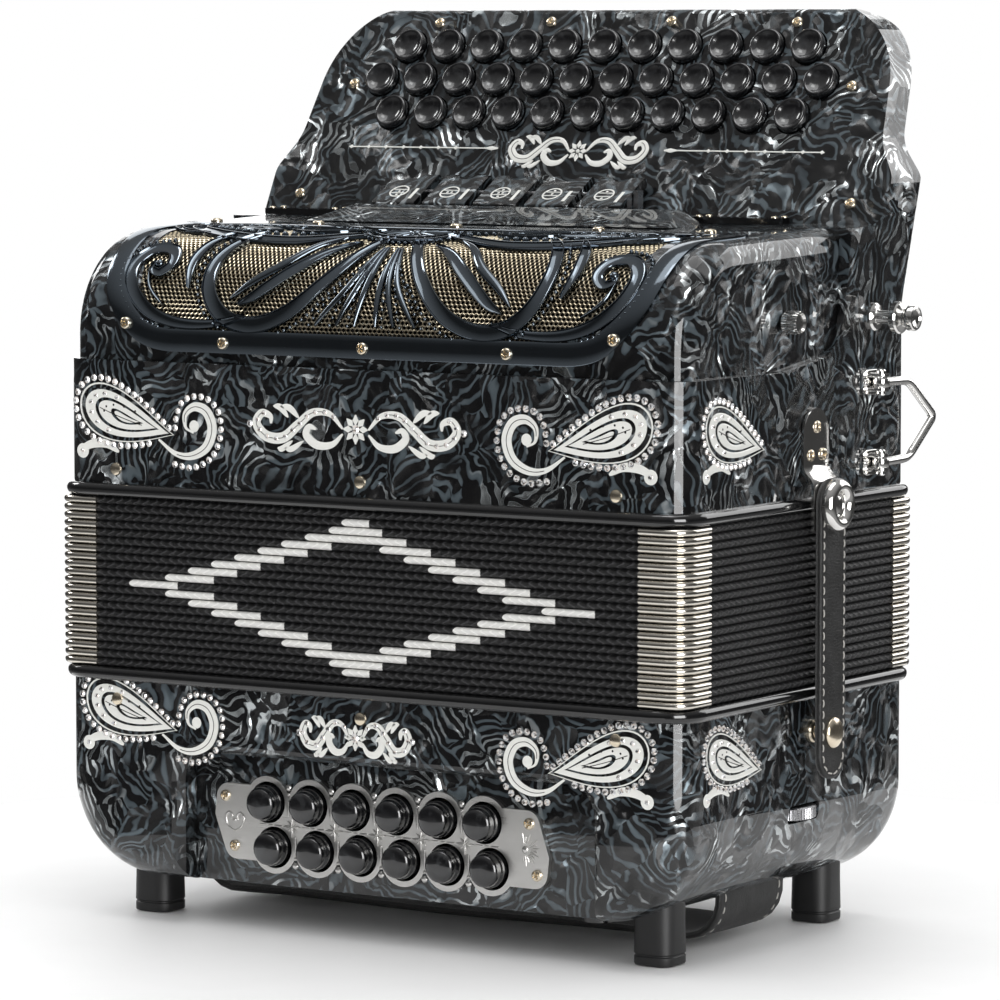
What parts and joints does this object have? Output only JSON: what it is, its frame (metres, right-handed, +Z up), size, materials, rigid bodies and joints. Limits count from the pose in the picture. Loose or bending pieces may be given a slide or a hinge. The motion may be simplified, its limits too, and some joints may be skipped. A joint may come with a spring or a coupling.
{
  "type": "button accordion",
  "caption": "Free-reed squeezebox whose casings are joined by folded bellows, with button keyboards at both ends, a pierced grille, carrying strap and feet.",
  "frame": {"origin": "floor level under the middle of the whole instrument, standing closed on its bass end", "axes": "+Z up, from the bass end to the treble end; +X along the keyboard; -Y out of the grille side"},
  "size_m": [0.3326, 0.2069, 0.3681],
  "materials": {
    "pearloid": "polished black pearloid celluloid with grey veins",
    "bead": "gloss black lacquer",
    "bellows_cloth": "embossed matt black bellows cloth",
    "nickel": "polished nickel",
    "screw_gold": "pale gold plated screws and pins",
    "plate_silver": "satin engraved plate",
    "gunmetal": "dark chrome scrollwork",
    "mesh_bronze": "perforated bronze coloured sheet",
    "button_black": "polished black pearl buttons",
    "rubber": "satin black feet",
    "leather": "black leather with white stitching",
    "steel": "plated steel",
    "wood": "planed spruce and beech",
    "reed": "duralumin reed plates"
  },
  "bodies": {
    "bass_end": {"bass_casing": "pearloid", "bass_button_board": "pearloid", "bass_button_plate": "plate_silver", "bass_cover": "bead", "rubber_feet": "rubber", "bass_fasteners": "screw_gold", "bass_soundboard": "wood", "bass_reed_blocks": "wood", "bass_reed_plates": "reed", "bass_strap": "leather", "strap_clamps": "steel", "bass_bellows_frame": "bead", "bellows": "bellows_cloth", "bellows_corners": "nickel"},
    "treble_end": {"treble_casing": "pearloid", "treble_bellows_frame": "bead", "treble_soundboard": "wood", "treble_reed_blocks": "wood", "treble_reed_plates": "reed", "treble_fasteners": "screw_gold", "grille_cover": "pearloid", "grille_frame": "gunmetal", "grille_mesh": "mesh_bronze", "fingerboard_plate": "pearloid", "lever_pivot_rod": "steel", "switch_ledge": "pearloid", "register_axle": "steel", "trim_bars": "bead", "strap_fittings": "nickel"},
    "bass_button_01": {"bass_button_01": "button_black"},
    "bass_button_02": {"bass_button_02": "button_black"},
    "bass_button_03": {"bass_button_03": "button_black"},
    "bass_button_04": {"bass_button_04": "button_black"},
    "bass_button_05": {"bass_button_05": "button_black"},
    "bass_button_06": {"bass_button_06": "button_black"},
    "bass_button_07": {"bass_button_07": "button_black"},
    "bass_button_08": {"bass_button_08": "button_black"},
    "bass_button_09": {"bass_button_09": "button_black"},
    "bass_button_10": {"bass_button_10": "button_black"},
    "bass_button_11": {"bass_button_11": "button_black"},
    "bass_button_12": {"bass_button_12": "button_black"},
    "air_button": {"air_button": "button_black"},
    "strap_wheel": {"strap_wheel": "steel"},
    "strap_nut": {"strap_nut": "steel"},
    "treble_buttons_row_1": {"treble_buttons_row_1": "button_black"},
    "treble_levers_row_1": {"treble_levers_row_1": "reed"},
    "treble_buttons_row_2": {"treble_buttons_row_2": "button_black"},
    "treble_levers_row_2": {"treble_levers_row_2": "reed"},
    "treble_buttons_row_3": {"treble_buttons_row_3": "button_black"},
    "treble_levers_row_3": {"treble_levers_row_3": "reed"},
    "register_tab_1": {"register_tab_1": "pearloid"},
    "register_tab_2": {"register_tab_2": "pearloid"},
    "register_tab_3": {"register_tab_3": "pearloid"},
    "register_tab_4": {"register_tab_4": "pearloid"},
    "register_tab_5": {"register_tab_5": "pearloid"},
    "side_knob": {"side_knob": "nickel"},
    "strap_bail_right": {"strap_bail_right": "nickel"},
    "bellows_strap_right": {"bellows_strap_right": "leather"},
    "strap_bail_left": {"strap_bail_left": "nickel"},
    "bellows_strap_left": {"bellows_strap_left": "leather"}
  },
  "joints": [
    {"name": "bellows_open", "type": "slide", "parent": "bass_end", "child": "treble_end", "axis": [0, 0, 1], "range_m": [0, 0.3], "deforming": ["bellows", "bellows_corners"]},
    {"name": "press_bass_button_01", "type": "slide", "parent": "bass_end", "child": "bass_button_01", "axis": [0, 1, 0], "range_m": [0, 0.004], "stiffness_N_per_m": 250, "springref_m": -0.002},
    {"name": "press_bass_button_02", "type": "slide", "parent": "bass_end", "child": "bass_button_02", "axis": [0, 1, 0], "range_m": [0, 0.004], "stiffness_N_per_m": 250, "springref_m": -0.002},
    {"name": "press_bass_button_03", "type": "slide", "parent": "bass_end", "child": "bass_button_03", "axis": [0, 1, 0], "range_m": [0, 0.004], "stiffness_N_per_m": 250, "springref_m": -0.002},
    {"name": "press_bass_button_04", "type": "slide", "parent": "bass_end", "child": "bass_button_04", "axis": [0, 1, 0], "range_m": [0, 0.004], "stiffness_N_per_m": 250, "springref_m": -0.002},
    {"name": "press_bass_button_05", "type": "slide", "parent": "bass_end", "child": "bass_button_05", "axis": [0, 1, 0], "range_m": [0, 0.004], "stiffness_N_per_m": 250, "springref_m": -0.002},
    {"name": "press_bass_button_06", "type": "slide", "parent": "bass_end", "child": "bass_button_06", "axis": [0, 1, 0], "range_m": [0, 0.004], "stiffness_N_per_m": 250, "springref_m": -0.002},
    {"name": "press_bass_button_07", "type": "slide", "parent": "bass_end", "child": "bass_button_07", "axis": [0, 1, 0], "range_m": [0, 0.004], "stiffness_N_per_m": 250, "springref_m": -0.002},
    {"name": "press_bass_button_08", "type": "slide", "parent": "bass_end", "child": "bass_button_08", "axis": [0, 1, 0], "range_m": [0, 0.004], "stiffness_N_per_m": 250, "springref_m": -0.002},
    {"name": "press_bass_button_09", "type": "slide", "parent": "bass_end", "child": "bass_button_09", "axis": [0, 1, 0], "range_m": [0, 0.004], "stiffness_N_per_m": 250, "springref_m": -0.002},
    {"name": "press_bass_button_10", "type": "slide", "parent": "bass_end", "child": "bass_button_10", "axis": [0, 1, 0], "range_m": [0, 0.004], "stiffness_N_per_m": 250, "springref_m": -0.002},
    {"name": "press_bass_button_11", "type": "slide", "parent": "bass_end", "child": "bass_button_11", "axis": [0, 1, 0], "range_m": [0, 0.004], "stiffness_N_per_m": 250, "springref_m": -0.002},
    {"name": "press_bass_button_12", "type": "slide", "parent": "bass_end", "child": "bass_button_12", "axis": [0, 1, 0], "range_m": [0, 0.004], "stiffness_N_per_m": 250, "springref_m": -0.002},
    {"name": "press_air_button", "type": "slide", "parent": "bass_end", "child": "air_button", "axis": [0, 0, 1], "range_m": [0, 0.004], "stiffness_N_per_m": 250, "springref_m": -0.002},
    {"name": "turn_strap_wheel", "type": "hinge", "parent": "bass_end", "child": "strap_wheel", "pos_m": [0.1338, -0.00646, 0.0527], "axis": [0, 0, 1], "range_deg": [0, 2160]},
    {"name": "strap_nut_travel", "type": "slide", "parent": "bass_end", "child": "strap_nut", "axis": [0, 0, 1], "range_m": [0, 0.0075]},
    {"name": "press_treble_buttons_row_1", "type": "slide", "parent": "treble_end", "child": "treble_buttons_row_1", "axis": [0, 0.8956, -0.4448], "range_m": [0, 0.0028], "stiffness_N_per_m": 900, "springref_m": -0.002},
    {"name": "rock_treble_levers_row_1", "type": "hinge", "parent": "treble_end", "child": "treble_levers_row_1", "pos_m": [0, 0.05725, 0.28596], "axis": [-1, 0, 0], "range_deg": [0, 2.3]},
    {"name": "press_treble_buttons_row_2", "type": "slide", "parent": "treble_end", "child": "treble_buttons_row_2", "axis": [0, 0.8956, -0.4448], "range_m": [0, 0.0028], "stiffness_N_per_m": 900, "springref_m": -0.002},
    {"name": "rock_treble_levers_row_2", "type": "hinge", "parent": "treble_end", "child": "treble_levers_row_2", "pos_m": [0, 0.05725, 0.28596], "axis": [-1, 0, 0], "range_deg": [0, 2.94]},
    {"name": "press_treble_buttons_row_3", "type": "slide", "parent": "treble_end", "child": "treble_buttons_row_3", "axis": [0, 0.8956, -0.4448], "range_m": [0, 0.0028], "stiffness_N_per_m": 900, "springref_m": -0.002},
    {"name": "rock_treble_levers_row_3", "type": "hinge", "parent": "treble_end", "child": "treble_levers_row_3", "pos_m": [0, 0.05725, 0.28596], "axis": [-1, 0, 0], "range_deg": [0, 4.1]},
    {"name": "press_register_tab_1", "type": "hinge", "parent": "treble_end", "child": "register_tab_1", "pos_m": [0, 0.04214, 0.2922], "axis": [1, 0, 0], "range_deg": [0, 10]},
    {"name": "press_register_tab_2", "type": "hinge", "parent": "treble_end", "child": "register_tab_2", "pos_m": [0, 0.04214, 0.2922], "axis": [1, 0, 0], "range_deg": [0, 10]},
    {"name": "press_register_tab_3", "type": "hinge", "parent": "treble_end", "child": "register_tab_3", "pos_m": [0, 0.04214, 0.2922], "axis": [1, 0, 0], "range_deg": [0, 10]},
    {"name": "press_register_tab_4", "type": "hinge", "parent": "treble_end", "child": "register_tab_4", "pos_m": [0, 0.04214, 0.2922], "axis": [1, 0, 0], "range_deg": [0, 10]},
    {"name": "press_register_tab_5", "type": "hinge", "parent": "treble_end", "child": "register_tab_5", "pos_m": [0, 0.04214, 0.2922], "axis": [1, 0, 0], "range_deg": [0, 10]},
    {"name": "turn_side_knob", "type": "hinge", "parent": "treble_end", "child": "side_knob", "pos_m": [0.1438, -0.01936, 0.2461], "axis": [1, 0, 0], "range_deg": [0, 300]},
    {"name": "swing_strap_bail_right", "type": "hinge", "parent": "treble_end", "child": "strap_bail_right", "pos_m": [0.1512, 0.04614, 0.2035], "axis": [0, 0, -1], "range_deg": [0, 100]},
    {"name": "swing_bellows_strap_right", "type": "hinge", "parent": "treble_end", "child": "bellows_strap_right", "pos_m": [0.1536, -0.00086, 0.1743], "axis": [1, 0, 0], "range_deg": [-80, 80]},
    {"name": "swing_strap_bail_left", "type": "hinge", "parent": "treble_end", "child": "strap_bail_left", "pos_m": [-0.1512, 0.04614, 0.2035], "axis": [0, 0, 1], "range_deg": [0, 100]},
    {"name": "swing_bellows_strap_left", "type": "hinge", "parent": "treble_end", "child": "bellows_strap_left", "pos_m": [-0.1536, -0.00086, 0.1743], "axis": [1, 0, 0], "range_deg": [-80, 80]}
  ],
  "couplings": [
    {"joint": "strap_nut_travel", "follows": "turn_strap_wheel", "m_per_rad": 0.00019894},
    {"joint": "rock_treble_levers_row_1", "follows": "press_treble_buttons_row_1", "rad_per_m": 14.194},
    {"joint": "rock_treble_levers_row_2", "follows": "press_treble_buttons_row_2", "rad_per_m": 18.228},
    {"joint": "rock_treble_levers_row_3", "follows": "press_treble_buttons_row_3", "rad_per_m": 25.432}
  ]
}
